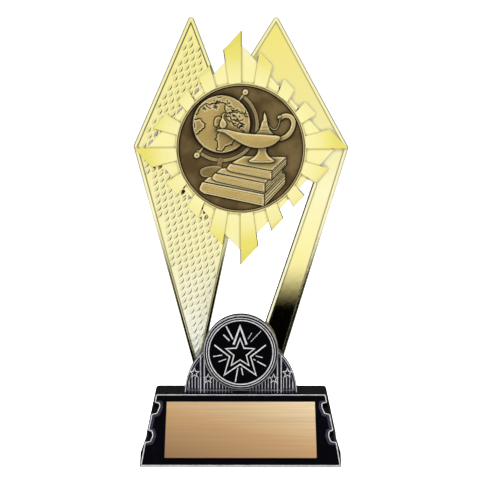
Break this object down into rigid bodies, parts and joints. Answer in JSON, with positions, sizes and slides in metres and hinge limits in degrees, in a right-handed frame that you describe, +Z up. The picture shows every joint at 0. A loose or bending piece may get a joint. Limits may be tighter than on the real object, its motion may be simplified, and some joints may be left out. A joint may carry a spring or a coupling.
{
  "type": "riser trophy",
  "caption": "Desk trophy: two gilt wings and a sunburst holder with a round learning medallion, on a black base with a star crest and a blank engraving plate.",
  "frame": {"origin": "centre of the footprint on the surface the trophy stands on", "axes": "+Z up, the medallion and the plate face -Y, +X is to the viewer's right"},
  "size_m": [0.0858, 0.0513, 0.1747],
  "materials": {
    "gilt_left": "vacuum-metallised pale gold with a textured field",
    "gilt_right": "vacuum-metallised pale gold, mirror bright",
    "gilt_burst": "vacuum-metallised yellow gold, bright facets",
    "antique_bronze": "antiqued bronze, dark in the recesses and rubbed on the relief",
    "black_crest": "gloss black with silver-rubbed ridges",
    "black_base": "gloss black",
    "black_fascia": "gloss black with a silver-lined edge",
    "star_foil": "black disc with bright silver star lines",
    "plate_metal": "anodised copper gold, brushed across",
    "adhesive": "white foam tape",
    "steel": "zinc-plated steel",
    "iron": "rough cast",
    "black_inner": "matte moulded black",
    "felt": "dark grey pressed felt"
  },
  "bodies": {
    "root": {"felt_pad": "felt", "bottom_cover": "black_inner", "cover_screws": "steel", "base_shell": "black_base", "base_fascia": "black_fascia", "plate_adhesive": "adhesive", "engraving_plate": "plate_metal", "ballast_weight": "iron", "riser_bolt": "steel", "riser_washer": "steel", "riser_foot_block": "black_inner", "riser_nut": "steel", "crest": "black_crest", "crest_screws": "steel", "star_disc_adhesive": "adhesive", "star_disc": "star_foil", "left_wing": "gilt_left", "right_wing": "gilt_right", "sunburst_holder": "gilt_burst", "holder_screws": "steel", "medallion_adhesive": "adhesive", "medallion": "antique_bronze"}
  },
  "joints": []
}
